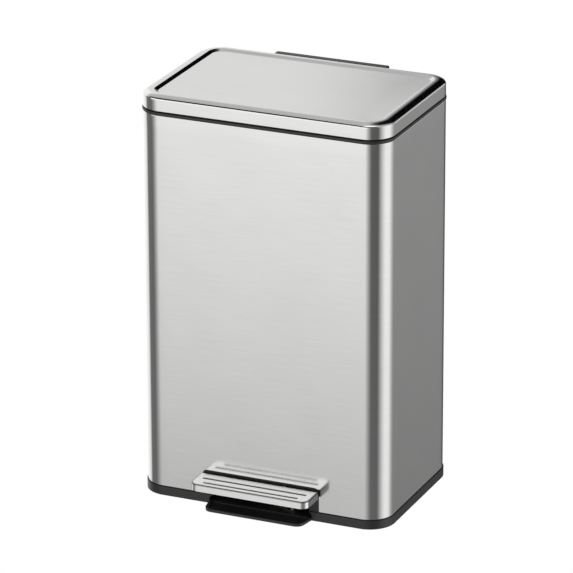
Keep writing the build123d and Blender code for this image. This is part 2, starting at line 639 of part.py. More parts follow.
with BuildPart() as pedal_lever:
    with BuildSketch(section(-LEVER_HALF)) as lever_side:
        with BuildLine():
            Polyline(
                (LEVER_FRONT, CORE_LOW - BRACKET_PLATE),
                (LEVER_FRONT, LEVER_FRONT_LOW),
                (PIVOT_Y, PIVOT_Z - LEVER_HALF),
                (LEVER_END_Y, LEVER_END_Z - LEVER_HALF),
                (LEVER_END_Y, LEVER_END_Z + LEVER_HALF),
                (PIVOT_Y, PIVOT_Z + LEVER_HALF),
                (LEVER_SHOULDER, CORE_LOW - BRACKET_PLATE),
                close=True,
            )
        make_face()
        with Locations((PIVOT_Y, PIVOT_Z)):
            Circle(PIVOT_BOSS)
            Circle(PIVOT_PIN_RADIUS + BUSH_WALL + RUNNING, mode=Mode.SUBTRACT)
        with Locations((LEVER_END_Y, LEVER_END_Z)):
            Circle(LEVER_HALF)
            Circle(END_PIN_RADIUS + RUNNING, mode=Mode.SUBTRACT)
    extrude(amount=2 * LEVER_HALF)

with BuildPart() as lever_bushes:
    for bush_x, flange_x in ((FIT, LEVER_HALF), (-LEVER_HALF, -LEVER_HALF - BUSH_FLANGE)):
        rings(section(bush_x), [(PIVOT_Y, PIVOT_Z)], PIVOT_PIN_RADIUS + BUSH_WALL,
              PIVOT_PIN_RADIUS + RUNNING, LEVER_HALF - FIT)
        rings(section(flange_x), [(PIVOT_Y, PIVOT_Z)], BUSH_FLANGE_RADIUS,
              PIVOT_PIN_RADIUS + RUNNING, BUSH_FLANGE)

with BuildPart() as lever_end_pin:
    bars(section(-LEVER_HALF), [(LEVER_END_Y, LEVER_END_Z)], END_PIN_RADIUS, PIN_END_X + LEVER_HALF)
    bars(section(-LEVER_HALF - HEAD_THICK), [(LEVER_END_Y, LEVER_END_Z)], END_HEAD_RADIUS, HEAD_THICK)
    bars(section(PIN_END_X), [(LEVER_END_Y, LEVER_END_Z)], END_HEAD_RADIUS, HEAD_THICK / 2)

with BuildPart() as lever_end_roller:
    rings(section(ROD_X - EYE_HALF), [(LEVER_END_Y, LEVER_END_Z)], ROLLER_RADIUS,
          END_PIN_RADIUS + RUNNING, 2 * EYE_HALF)

# Push rod ----------------------------------------------------------------------------------------

with BuildPart() as push_rod:
    bars(level(ROD_LOW), [(ROD_X, ROD_Y)], ROD_RADIUS, ROD_HIGH - ROD_LOW)

with BuildPart() as rod_foot:
    block((ROD_X - EYE_HALF, ROD_X + EYE_HALF), (ROD_Y - EYE_REACH, ROD_Y + EYE_REACH),
          (LEVER_END_Z - EYE_LOW, FOOT_BLOCK_LOW))
    block((ROD_X - ROD_BLOCK, ROD_X + ROD_BLOCK), (ROD_Y - ROD_BLOCK, ROD_Y + ROD_BLOCK),
          (FOOT_BLOCK_LOW, FOOT_BLOCK_TOP))
    with BuildSketch(section(ROD_X - EYE_HALF)) as foot_slot:
        with Locations((ROD_Y, LEVER_END_Z)):
            SlotOverall(2 * ROLLER_RADIUS + FOOT_SLOT_EXTRA, 2 * ROLLER_RADIUS + FIT)
    extrude(amount=2 * EYE_HALF, mode=Mode.SUBTRACT)
    bars(level(ROD_LOW), [(ROD_X, ROD_Y)], ROD_RADIUS + RUNNING, FOOT_BLOCK_TOP - ROD_LOW,
         mode=Mode.SUBTRACT)

with BuildPart() as rod_head:
    block((ROD_X - EYE_HALF, ROD_X + EYE_HALF), (ROD_Y - EYE_REACH, ROD_Y + EYE_REACH),
          (HEAD_BLOCK_TOP, HEAD_Z + EYE_LOW))
    block((ROD_X - ROD_BLOCK, ROD_X + ROD_BLOCK), (ROD_Y - ROD_BLOCK, ROD_Y + ROD_BLOCK),
          (HEAD_BLOCK_LOW, HEAD_BLOCK_TOP))
    with BuildSketch(section(ROD_X - EYE_HALF)) as head_slot:
        with Locations((ROD_Y, HEAD_Z)):
            SlotOverall(HEAD_SLOT_LENGTH, 2 * (CRANK_PIN_RADIUS + CRANK_SLOT_PLAY))
    extrude(amount=2 * EYE_HALF, mode=Mode.SUBTRACT)
    bars(level(HEAD_BLOCK_LOW), [(ROD_X, ROD_Y)], ROD_RADIUS + RUNNING, ROD_HIGH - HEAD_BLOCK_LOW,
         mode=Mode.SUBTRACT)

with BuildPart() as damper_rod:
    bars(level(CROSSHEAD_LOW - NUT), [(DAMPER_X, ROD_Y)], DAMPER_ROD_RADIUS, PISTON_Z - CROSSHEAD_LOW + NUT)
    bars(level(PISTON_Z), [(DAMPER_X, ROD_Y)], DAMPER_BORE - RUNNING, PISTON_THICK)

with BuildPart() as damper_crosshead:
    block((ROD_X - ROD_BLOCK, DAMPER_X + ROD_BLOCK), (ROD_Y - ROD_BLOCK, ROD_Y + ROD_BLOCK),
          (CROSSHEAD_LOW, CROSSHEAD_TOP))
    bars(level(CROSSHEAD_LOW), [(ROD_X, ROD_Y)], ROD_RADIUS + RUNNING, CROSSHEAD_TOP - CROSSHEAD_LOW,
         mode=Mode.SUBTRACT)
    bars(level(CROSSHEAD_LOW), [(DAMPER_X, ROD_Y)], DAMPER_ROD_RADIUS + RUNNING,
         CROSSHEAD_TOP - CROSSHEAD_LOW, mode=Mode.SUBTRACT)

with BuildPart() as rod_nuts:
    for nut_z in (FOOT_BLOCK_TOP, HEAD_BLOCK_LOW - NUT, CROSSHEAD_LOW - NUT, CROSSHEAD_TOP):
        with BuildSketch(level(nut_z)) as nut:
            with Locations((ROD_X, ROD_Y)):
                RegularPolygon(NUT_RADIUS, 6)
                Circle(ROD_RADIUS + RUNNING, mode=Mode.SUBTRACT)
        extrude(amount=NUT)
    with BuildSketch(level(CROSSHEAD_LOW - NUT)) as small_nut:
        with Locations((DAMPER_X, ROD_Y)):
            RegularPolygon(SMALL_NUT_RADIUS, 6)
            Circle(DAMPER_ROD_RADIUS + RUNNING, mode=Mode.SUBTRACT)
    extrude(amount=NUT)

PIECES = {
    "outer_shell": outer_shell,
    "top_collar": top_collar,
    "base_tray": base_tray,
    "pedal_bezel": pedal_bezel,
    "base_feet": base_feet,
    "inner_bucket": inner_bucket,
    "pivot_bracket": pivot_bracket,
    "pivot_bracket_screws": pivot_bracket_screws,
    "lever_pivot_pin": lever_pivot_pin,
    "lever_pivot_clip": lever_pivot_clip,
    "rod_cover": rod_cover,
    "lower_rod_guide": lower_rod_guide,
    "upper_rod_guide": upper_rod_guide,
    "damper_cylinder": damper_cylinder,
    "damper_clamps": damper_clamps,
    "hinge_housing": hinge_housing,
    "hinge_housing_screws": hinge_housing_screws,
    "hinge_pin": hinge_pin,
    "hinge_pin_clips": hinge_pin_clips,
    "lid_shell": lid_shell,
    "lid_liner": lid_liner,
    "lid_bumpers": lid_bumpers,
    "lid_hinge_cover": lid_hinge_cover,
    "lid_hinge_bushes": lid_hinge_bushes,
    "lid_screws": lid_screws,
    "lid_lever": lid_lever,
    "lid_lever_screws": lid_lever_screws,
    "lid_lever_pin": lid_lever_pin,
    "pedal_tread": pedal_tread,
    "pedal_core": pedal_core,
    "pedal_bracket": pedal_bracket,
    "pedal_rivets": pedal_rivets,
    "pedal_lever": pedal_lever,
    "lever_bushes": lever_bushes,
    "lever_end_pin": lever_end_pin,
    "lever_end_roller": lever_end_roller,
    "push_rod": push_rod,
    "rod_foot": rod_foot,
    "rod_head": rod_head,
    "damper_rod": damper_rod,
    "damper_crosshead": damper_crosshead,
    "rod_nuts": rod_nuts,
}

os.makedirs("parts", exist_ok=True)
for name, piece in PIECES.items():
    piece.part.label = name
    export_step(piece.part, f"parts/{name}.step")
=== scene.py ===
import json
import math

import bmesh
import bpy
import numpy as np
from bpy.props import FloatProperty, FloatVectorProperty, PointerProperty
from mathutils import Matrix, Vector


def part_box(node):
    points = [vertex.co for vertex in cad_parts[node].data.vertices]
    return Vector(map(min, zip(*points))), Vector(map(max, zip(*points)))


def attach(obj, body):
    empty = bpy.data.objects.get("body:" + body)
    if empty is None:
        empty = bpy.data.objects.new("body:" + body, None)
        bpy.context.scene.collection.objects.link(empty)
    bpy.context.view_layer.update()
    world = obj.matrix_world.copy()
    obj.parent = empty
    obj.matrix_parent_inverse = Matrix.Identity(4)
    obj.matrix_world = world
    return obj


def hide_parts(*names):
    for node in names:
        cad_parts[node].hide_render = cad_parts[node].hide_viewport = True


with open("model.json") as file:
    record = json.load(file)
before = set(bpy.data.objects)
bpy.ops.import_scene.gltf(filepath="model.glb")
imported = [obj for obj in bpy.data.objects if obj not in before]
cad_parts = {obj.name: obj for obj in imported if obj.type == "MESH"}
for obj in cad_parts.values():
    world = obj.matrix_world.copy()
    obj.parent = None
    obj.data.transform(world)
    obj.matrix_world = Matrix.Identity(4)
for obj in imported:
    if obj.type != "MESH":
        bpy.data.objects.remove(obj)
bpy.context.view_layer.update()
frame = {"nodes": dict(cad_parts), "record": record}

bl_info = {
    "name": "Pedal trash can",
    "version": (1, 0, 0),
    "blender": (4, 5, 0),
    "location": "3D View > Sidebar > Pedal can",
    "description": "Sheet steel, mouldings and finishes of a pedal trash can, built around its CAD frame",
    "category": "Object",
}

MM = 0.001
UV = "brush"
# The mesh attribute that carries the tread's painted shade
SHADE = "shade"

# Steps round a corner of an outline, and the step along its flat sides
ARC_STEPS = 20
SIDE_STEP = 14 * MM
# Faces that meet at a larger angle keep a sharp edge; points nearer than the weld become one
SHARP_ANGLE = math.radians(32)
WELD = 1e-6
# Decimal places to which the body's and the tread's grid places are rounded, so that equal ones join
BODY_DIGITS = 7
TREAD_DIGITS = 6


def linear(hex_colour):
    """An sRGB hex colour as linear light: v / 12.92 in the dark, ((v + 0.055) / 1.055) ** 2.4 above."""
    channels = [int(hex_colour[i : i + 2], 16) / 255 for i in (0, 2, 4)]
    return [c / 12.92 if c <= 0.04045 else ((c + 0.055) / 1.055) ** 2.4 for c in channels]


def smooth(t):
    """A soft step: 3 t^2 - 2 t^3 between 0 and 1, level outside."""
    t = np.clip(t, 0.0, 1.0)
    return t * t * (3 - 2 * t)


# Settings ----------------------------------------------------------------------------------------

SHELL_LOW, SHELL_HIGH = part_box("outer_shell")
LID_LOW, LID_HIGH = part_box("lid_shell")
TREAD_LOW, TREAD_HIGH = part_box("pedal_tread")


def length(label, what, default):
    """A size in metres."""
    return FloatProperty(name=label, description=what, default=default, unit="LENGTH", precision=4)


def amount(label, what, default):
    """A share between nought and one."""
    return FloatProperty(name=label, description=what, default=default, min=0.0, max=1.0, subtype="FACTOR")


def colour(label, what, hex_colour):
    """A finish's colour."""
    return FloatVectorProperty(name=label, description=what, default=linear(hex_colour), subtype="COLOR")


class CanBodySettings(bpy.types.PropertyGroup):
    """Sizes of the can's steel body."""

    width: length("Width", "Body from side to side", SHELL_HIGH.x - SHELL_LOW.x)
    depth: length("Depth", "Body from front to back", SHELL_HIGH.y - SHELL_LOW.y)
    middle: length(
        "Middle", "How far the body's middle stands behind the origin", (SHELL_HIGH.y + SHELL_LOW.y) / 2
    )
    corner: length("Corner", "Radius of the upright corners", 39 * MM)
    low: length("Lower edge", "Height of the body's lower edge", SHELL_LOW.z)
    top: length("Upper edge", "Height of the body's upper edge", SHELL_HIGH.z)
    hem: length("Hem", "Radius of the turned upper edge", 1.2 * MM)
    sheet: length("Sheet", "Thickness of the body's steel", 0.6 * MM)
    door_half: length("Pedal opening", "Half the width of the pedal's cut-out", 96.5 * MM)
    door_top: length("Opening top", "Height of the cut-out's upper edge", 54.2 * MM)
    door_corner: length("Opening corner", "Radius of the cut-out's upper corners", 8 * MM)


class LidSettings(bpy.types.PropertyGroup):
    """Sizes of the pressed lid."""

    skirt_low: length("Skirt", "Height of the skirt's lower edge", LID_LOW.z)
    edge: length("Edge", "Height where the skirt turns over into the rim", 640 * MM)
    crown: length("Crown", "Height of the rim's highest line", LID_HIGH.z)
    bend: length("Bend", "Radius between skirt and rim", 3.6 * MM)
    crown_inset: length("Rim width", "How far the highest line stands inside the edge", 17.0 * MM)
    panel_inset: length("Panel inset", "How far the sunk panel starts inside the edge", 23.2 * MM)
    sheet: length("Sheet", "Thickness of the lid's steel", 0.8 * MM)


class PedalSettings(bpy.types.PropertyGroup):
    """Sizes of the pedal's steel tread."""

    half: length("Half width", "Half the tread's width", TREAD_HIGH.x)
    front: length("Front", "The tread's front edge", TREAD_LOW.y)
    back: length("Back", "The tread's back edge", TREAD_HIGH.y)
    low: length("Skirt", "Height of the skirt's lower edge", TREAD_LOW.z)
    top_front: length("Front height", "Height of the top at the front edge", 49.8 * MM)
    top_back: length("Back height", "Height of the top at the back edge", TREAD_HIGH.z)
    corner: length("Corner", "Radius of the front corners", 13 * MM)
    bend: length("Bend", "Radius between top and skirt", 1.5 * MM)
    # The fold's dark line is painted shade, drawn into the colour through the shade attribute
    line: length("Fold line", "How far inside the edge the fold's dark line reaches", 2.6 * MM)
    rear_groove: length("Rear groove", "How far the rear groove runs behind the front edge", 26.5 * MM)
    rear_half: length("Rear groove half", "Half the rear groove's length", 85.5 * MM)
    near_groove: length("Front groove", "How far the front groove runs behind the front edge", 11.0 * MM)
    near_half: length("Front groove half", "Half the front groove's length", 77.8 * MM)
    groove_half: length("Groove width", "Half the width of a pressed groove", 2.2 * MM)
    groove_depth: length("Groove depth", "Depth of a pressed groove", 1.1 * MM)
    sheet: length("Sheet", "Thickness of the tread's steel", 1.2 * MM)


class FinishSettings(bpy.types.PropertyGroup):
    """Colours and surface of the materials."""

    steel: colour("Steel", "Brushed stainless steel", "DCDCDB")
    # The tread's colour is lighter than the body's steel, in part painted light for the brightness its top
    # takes from the light above
    tread: colour("Tread", "Coarser brushed stainless steel of the pedal", "F2F2F1")
    steel_roughness: amount("Steel roughness", "How far the brushing spreads a reflection", 0.14)
    brushing: amount("Brushing", "How much longer a reflection is across the brushing than along it", 0.45)
    tread_roughness: amount("Tread roughness", "How far the tread spreads a reflection", 0.28)
    black: colour("Mouldings", "Black ABS of the collar, base and hinge", "2B2B2C")
    bucket: colour("Bucket", "Polypropylene of the inner bucket", "38383A")
    nylon: colour("Nylon", "Natural nylon of bushes and rollers", "DEDCD2")
    rubber: colour("Rubber", "Rubber of feet and bumpers", "242424")
    zinc: colour("Zinc", "Zinc plated brackets and nuts", "C2C5C9")
    nickel: colour("Nickel", "Nickel plated pins, screws and rods", "DAD9D6")
    damper: colour("Damper", "Paint of the damper's cylinder", "4F4F51")


class CanStageSettings(bpy.types.PropertyGroup):
    """Camera and studio."""

    azimuth: FloatProperty(
        name="Azimuth", description="Camera's turn from the front towards the right",
        default=math.radians(23.77), subtype="ANGLE",
    )
    elevation: FloatProperty(
        name="Elevation", description="Camera's height over the floor as an angle",
        default=math.radians(20.75), subtype="ANGLE",
    )
    roll: FloatProperty(
        name="Roll", description="Camera's turn about its own line of sight",
        default=math.radians(-0.20), subtype="ANGLE",
    )
    distance: length("Distance", "Camera's distance from its target", 7.045)
    lens: FloatProperty(name="Lens", description="Focal length in millimetres", default=291.1)
    target: FloatVectorProperty(
        name="Target", description="The point the camera looks at",
        default=(-0.01474, 0.01858, 0.31672), subtype="TRANSLATION",
    )
    light: FloatProperty(name="Light", description="Strength of the studio light", default=1.0, min=0.0)


SETTINGS = {
    "can_body": CanBodySettings,
    "can_lid": LidSettings,
    "can_pedal": PedalSettings,
    "can_finish": FinishSettings,
    "can_stage": CanStageSettings,
}


# Surfaces ----------------------------------------------------------------------------------------


def side_steps(half, pinned=()):
    """Places along a flat side: even steps, with the pinned places instead of those close to them."""
    even = np.linspace(-half, half, max(2, int(round(2 * half / SIDE_STEP))) + 1)
    pinned = np.array(pinned)
    clear = np.all(np.abs(even[:, None] - pinned[None]) > SIDE_STEP / 3, axis=1)
    return np.unique(np.concatenate([[-half, half], even[clear], pinned]))


def outline(half_x, half_y, radius, middle=(0.0, 0.0), front=()):
    """A closed rounded rectangle, walked from the front's left end towards +X and round to there again.

    A point is the nearest corner centre plus the radius times the outward normal; on a flat side the
    centre slides along the side. Returns the points, the outward normals and the length walked.
    """
    flat_x, flat_y = half_x - radius, half_y - radius
    runs_x, runs_y = side_steps(flat_x, front), side_steps(flat_y)
    back_x = side_steps(flat_x)
    turn = np.linspace(0, math.pi / 2, ARC_STEPS + 1)[1:-1]
    legs = []
    for start, centres in (
        (-90, np.stack([runs_x, np.full_like(runs_x, -flat_y)], 1)),
        (0, np.stack([np.full_like(runs_y, flat_x), runs_y], 1)),
        (90, np.stack([back_x[::-1], np.full_like(back_x, flat_y)], 1)),
        (180, np.stack([np.full_like(runs_y, -flat_x), runs_y[::-1]], 1)),
    ):
        angle = math.radians(start)
        normal = np.array([math.cos(angle), math.sin(angle)])
        legs.append((centres, np.tile(normal, (len(centres), 1))))
        legs.append((
            np.tile(centres[-1], (len(turn), 1)),
            np.stack([np.cos(angle + turn), np.sin(angle + turn)], 1),
        ))
    centres = np.concatenate([leg[0] for leg in legs] + [legs[0][0][:1]])
    normals = np.concatenate([leg[1] for leg in legs] + [legs[0][1][:1]])
    points = centres + radius * normals + np.array(middle)
    walked = np.concatenate([[0.0], np.cumsum(np.linalg.norm(np.diff(points, axis=0), axis=1))])
    return points, normals, walked


def carried(path, profile):
    """A profile carried along a path.

    Point = path point - inset * outward normal, at the profile's height.
    """
    points, normals, _ = path
    inset, height = profile[:, 0][:, None], profile[:, 1][:, None]
    x = points[None, :, 0] - inset * normals[None, :, 0]
    y = points[None, :, 1] - inset * normals[None, :, 1]
    return np.stack([x, y, np.broadcast_to(height, x.shape)], 2)


def profile_length(profile):
    """Distance walked along a profile."""
    return np.concatenate([[0.0], np.cumsum(np.linalg.norm(np.diff(profile, axis=0), axis=1))])


def arc(centre, radius, start, end, steps=6):
    """Points of a circle in a profile: centre + radius * (cos, sin), between two angles in degrees."""
    angle = np.radians(np.linspace(start, end, steps + 1))
    return np.stack([centre[0] + radius * np.cos(angle), centre[1] + radius * np.sin(angle)], 1)


def walk_uv(path, profile):
    """A map whose U runs along the path and whose V runs along the profile, both in metres."""
    u, v = np.meshgrid(path[2], profile_length(profile))
    return np.stack([u, v], 2)


def sheet(name, patches, material, thickness=0.0, flip=False):
    """Welds grids of points into one mesh and gives it a thickness inwards.

    Each patch is (points, map, keep): rows by columns of points, their brushing map, and which of the
    cells between them are kept, or None for all. A fourth array gives each point's share of painted shade.
    """
    verts, faces, maps, shades, base = [], [], [], [], 0
    for points, uv, keep, *shade in patches:
        shades += [share.ravel() for share in shade]
        rows, cols = points.shape[:2]
        index = np.arange(rows * cols).reshape(rows, cols) + base
        quads = np.stack([index[:-1, :-1], index[:-1, 1:], index[1:, 1:], index[1:, :-1]], 2)
        if flip:
            quads = quads[:, :, ::-1]
        mask = np.ones(quads.shape[:2], bool) if keep is None else keep
        faces.append(quads[mask])
        verts.append(points.reshape(-1, 3))
        maps.append(uv.reshape(-1, 2))
        base += rows * cols
    verts, faces, maps = np.concatenate(verts), np.concatenate(faces), np.concatenate(maps)
    used, corners = np.unique(faces, return_inverse=True)
    mesh = bpy.data.meshes.new(name)
    mesh.from_pydata(verts[used].tolist(), [], corners.reshape(faces.shape).tolist())
    layer = mesh.uv_layers.new(name=UV)
    layer.data.foreach_set("uv", maps[faces.ravel()].astype(np.float32).ravel())
    if shades:
        attribute = mesh.attributes.new(SHADE, "FLOAT", "POINT")
        attribute.data.foreach_set("value", np.concatenate(shades)[used].astype(np.float32))
    made = bmesh.new()
    made.from_mesh(mesh)
    bmesh.ops.remove_doubles(made, verts=made.verts, dist=WELD)
    made.to_mesh(mesh)
    made.free()
    piece = bpy.data.objects.new(name, mesh)
    bpy.context.scene.collection.objects.link(piece)
    if thickness:
        wall = piece.modifiers.new("wall", "SOLIDIFY")
        wall.thickness = thickness
        wall.offset = -1.0
        wall.use_even_offset = True
        solid = bpy.data.meshes.new_from_object(piece.evaluated_get(bpy.context.evaluated_depsgraph_get()))
        piece.modifiers.clear()
        piece.data = solid
        bpy.data.meshes.remove(mesh)
        solid.name = name
        mesh = solid
    mesh.shade_smooth()
    mesh.set_sharp_from_angle(angle=SHARP_ANGLE)
    mesh.materials.clear()
    mesh.materials.append(material)
    return piece


def place(piece, body, slot, *nodes):
    """The piece rides on a body and stands for CAD nodes, which it hides; the slot is not used."""
    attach(piece, body)
    if nodes:
        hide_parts(*nodes)
    return piece


def rounded_corner(x, y, corner_x, corner_y, radius, up, fade=0.0):
    """Moves a square corner of a grid onto a quarter circle, above its centre (up 1) or below it (up -1).

    With q the offset from the circle's centre and m its larger coordinate, the point goes to centre +
    q * m / |q|, so that the square of side m becomes the circle of radius m. Beyond the radius the
    move fades out over the given distance.
    """
    qx = (x - corner_x) * np.sign(corner_x)
    qy = (y - corner_y) * up
    inside = (qx > 0) & (qy > 0)
    qx, qy = np.where(inside, qx, 0.0), np.where(inside, qy, 0.0)
    larger = np.maximum(qx, qy)
    reach = np.hypot(qx, qy)
    share = np.where(reach > 0, larger / np.where(reach > 0, reach, 1.0), 1.0)
    if fade:
        share = 1 - (1 - share) * (1 - smooth((larger - radius) / fade))
    new_x = np.where(inside, corner_x + np.sign(corner_x) * qx * share, x)
    new_y = np.where(inside, corner_y + up * qy * share, y)
    return new_x, new_y


# Materials ---------------------------------------------------------------------------------------


def add(tree, kind, options=None, **sockets):
    """Adds a node with its options; each socket takes a value or another node's output."""
    made = tree.nodes.new("ShaderNode" + kind)
    for key, value in (options or {}).items():
        setattr(made, key, value)
    for key, value in sockets.items():
        socket = made.inputs[int(key[1:])] if key[1:].isdigit() else made.inputs[key.replace("_", " ")]
        if isinstance(value, bpy.types.NodeSocket):
            tree.links.new(value, socket)
        else:
            socket.default_value = value
    return made


def blank_material(name):
    """An empty node material with its output."""
    material = bpy.data.materials.new(name)
    material.use_nodes = True
    tree = material.node_tree
    tree.nodes.clear()
    return material, tree, tree.nodes.new("ShaderNodeOutputMaterial")


def rgba(value, gain=1.0):
    """A colour socket's four numbers, lightened or darkened by a gain."""
    return [min(1.0, c * gain) for c in value] + [1.0]


def band_colours(tree, factor, value, low, high):
    """The colour between a darker and a lighter version of itself, led by a pattern."""
    mix = add(tree, "Mix", {"data_type": "RGBA"}, Factor=factor)
    mix.inputs[6].default_value = rgba(value, low)
    mix.inputs[7].default_value = rgba(value, high)
    return mix.outputs[2]


# Belt-brushed stainless steel: 180 grit lines about 0.1 mm apart, drawn 1.4 mm apart so that they
# show. They spread a reflection across the lines and keep it short along them.
BRUSH_GAP = 1.4 * MM
BRUSH_RUN = 55 * MM
BRUSH_DEPTH = 0.05 * MM
BRUSH_DARK, BRUSH_LIGHT = 0.93, 1.04
BRUSH_SPREAD = 0.03
# Broad clouds over the brushing, and their weight beside it
CLOUD = 90 * MM
CLOUD_WEIGHT = 0.35
# Broad patches of gloss on a moulding, and how far its roughness varies between them
PATCH = 60 * MM
MOULD_SPREAD = 0.05
# The tread's brushing, and how dark the painted shade in its grooves and along its fold is drawn
TREAD_BRUSHING = 0.5
TREAD_PAINTED_SHADE = 0.72


def brushed_stainless(name, value, roughness, brushing, painted_shade_amount=0.0):
    """Brushed stainless steel whose lines run along U, darker by a share of painted shade where the mesh
    says so.
    """
    material, tree, output = blank_material(name)
    where = add(tree, "UVMap", {"uv_map": UV}).outputs["UV"]
    lines = add(tree, "Mapping", Vector=where, Scale=(1 / BRUSH_RUN, 1 / BRUSH_GAP, 1)).outputs[0]
    streak = add(tree, "TexNoise", Vector=lines, Scale=1.0, Detail=3.0, Roughness=0.65).outputs[0]
    cloud = add(tree, "TexNoise", Vector=where, Scale=1 / CLOUD, Detail=1.0).outputs[0]
    both = add(tree, "Math", {"operation": "MULTIPLY_ADD"}, i0=cloud, i1=CLOUD_WEIGHT, i2=streak).outputs[0]
    shade = add(tree, "MapRange", Value=both, From_Min=0.35, From_Max=1.0).outputs[0]
    rough = add(
        tree, "MapRange", Value=streak, To_Min=roughness - BRUSH_SPREAD, To_Max=roughness + BRUSH_SPREAD
    ).outputs[0]
    relief = add(tree, "Bump", Strength=0.06, Distance=BRUSH_DEPTH, Height=streak).outputs[0]
    surface = band_colours(tree, shade, value, BRUSH_DARK, BRUSH_LIGHT)
    # Painted shade: the colour is scaled down by the attribute's share times the amount
    if painted_shade_amount:
        share = add(tree, "Attribute", {"attribute_name": SHADE}).outputs["Fac"]
        painted_darkening = add(tree, "Math", {"operation": "MULTIPLY_ADD"}, i0=share, i1=-painted_shade_amount, i2=1.0).outputs[0]
        surface = add(tree, "VectorMath", {"operation": "SCALE"}, i0=surface, Scale=painted_darkening).outputs[0]
    steel = add(
        tree, "BsdfPrincipled",
        Base_Color=surface, Metallic=1.0, Roughness=rough,
        Anisotropic=brushing, Anisotropic_Rotation=0.25, Normal=relief,
        Tangent=add(tree, "Tangent", {"direction_type": "UV_MAP", "uv_map": UV}).outputs[0],
    )
    tree.links.new(steel.outputs[0], output.inputs[0])
    return material


def moulded(name, value, roughness, grain, depth, contrast=0.12):
    """A moulding with a fine spark-eroded grain, which breaks up its gloss and keeps it satin."""
    material, tree, output = blank_material(name)
    where = add(tree, "TexCoord").outputs["Object"]
    fine = add(tree, "TexNoise", Vector=where, Scale=1 / grain, Detail=2.0).outputs[0]
    broad = add(tree, "TexNoise", Vector=where, Scale=1 / PATCH, Detail=2.0).outputs[0]
    rough = add(
        tree, "MapRange", Value=broad, To_Min=roughness - MOULD_SPREAD, To_Max=roughness + MOULD_SPREAD
    ).outputs[0]
    relief = add(tree, "Bump", Strength=0.35, Distance=depth, Height=fine).outputs[0]
    shell = add(
        tree, "BsdfPrincipled",
        Base_Color=band_colours(tree, broad, value, 1 - contrast, 1 + contrast),
        Roughness=rough, IOR=1.52, Normal=relief,
    )
    tree.links.new(shell.outputs[0], output.inputs[0])
    return material


def plated(name, value, roughness, spangle, contrast):
    """Plated steel: cells of the coating catch the light a little differently."""
    material, tree, output = blank_material(name)
    where = add(tree, "TexCoord").outputs["Object"]
    cells = add(tree, "TexVoronoi", Vector=where, Scale=1 / spangle).outputs["Color"]
    grey = add(tree, "RGBToBW", Color=cells).outputs[0]
    rough = add(tree, "MapRange", Value=grey, To_Min=roughness - 0.04, To_Max=roughness + 0.06).outputs[0]
    relief = add(tree, "Bump", Strength=0.1, Distance=0.02 * MM, Height=grey).outputs[0]
    steel = add(
        tree, "BsdfPrincipled",
        Base_Color=band_colours(tree, grey, value, 1 - contrast, 1.0), Metallic=1.0,
        Roughness=rough, Normal=relief,
    )
    tree.links.new(steel.outputs[0], output.inputs[0])
    return material


def finishes():
    """Every slot's material, made once."""
    look = bpy.context.scene.can_finish
    if "satin_black_abs" in bpy.data.materials:
        return {slot: bpy.data.materials[name] for slot, name in SLOT_MATERIALS.items()}
    return {
        # Belt-brushed 430 stainless sheet: a clean grey with long soft reflections.
        "brushed_steel": brushed_stainless(
            "brushed_stainless_steel", look.steel, look.steel_roughness, look.brushing
        ),
        # The tread is brushed coarser than the body, so it takes in more of the light above it; its
        # pressed grooves and its fold get painted shade, drawn darker than the steel round them.
        # Its lighter colour is in part painted light, standing in for the brightness its top takes from
        # above
        "tread_steel": brushed_stainless(
            "coarse_brushed_stainless_steel", look.tread, look.tread_roughness, TREAD_BRUSHING, TREAD_PAINTED_SHADE
        ),
        # Injection-moulded ABS with a satin grain: nearly black, with a broad dull sheen.
        "black_plastic": moulded("satin_black_abs", look.black, 0.42, 0.5 * MM, 0.03 * MM),
        # Injection-moulded polypropylene: waxy and softer than the ABS.
        "bucket_plastic": moulded("dark_polypropylene", look.bucket, 0.5, 0.8 * MM, 0.04 * MM),
        # Moulded natural nylon: off-white and slightly waxy.
        "nylon": moulded("natural_nylon", look.nylon, 0.4, 0.4 * MM, 0.02 * MM, 0.05),
        # Moulded nitrile rubber: dull, with a coarser grain.
        "rubber": moulded("moulded_rubber", look.rubber, 0.75, 0.9 * MM, 0.06 * MM, 0.2),
        # Bright zinc plating on pressed steel: small cool spangles.
        "zinc_steel": plated("zinc_plated_steel", look.zinc, 0.34, 2.5 * MM, 0.14),
        # Nickel plating on turned steel: clear, warm reflections.
        "bright_steel": plated("nickel_plated_steel", look.nickel, 0.2, 1.2 * MM, 0.05),
        # Baked satin enamel on the damper's tube: fine orange peel.
        "damper_body": moulded("satin_enamel", look.damper, 0.35, 1.5 * MM, 0.03 * MM, 0.05),
    }


SLOT_MATERIALS = {
    "brushed_steel": "brushed_stainless_steel",
    "tread_steel": "coarse_brushed_stainless_steel",
    "black_plastic": "satin_black_abs",
    "bucket_plastic": "dark_polypropylene",
    "nylon": "natural_nylon",
    "rubber": "moulded_rubber",
    "zinc_steel": "zinc_plated_steel",
    "bright_steel": "nickel_plated_steel",
    "damper_body": "satin_enamel",
}


# Operators ---------------------------------------------------------------------------------------

# The body's grid: rows above the pedal's opening close to it, where the even rows begin, and how far
# the opening's rounded corners fade into the square grid
NEAR_DOOR = np.array([3, 7, 13, 22]) * MM
EVEN_ROWS = 40 * MM
DOOR_FADE = 14 * MM

# The lid: how far its edge turns over in degrees, the power of the rim's crown, the radius at the
# rim's inner edge and at the panel's foot, how far those turn past the slope between them in
# degrees, the step out at the foot and the skirt's hem
EDGE_TURN = 64
CROWN_POWER = 2.4
ROLL = 1.0 * MM
ROLL_EASE = 6
FOOT_STEP = 0.3 * MM
SKIRT_HEM = 0.5 * MM

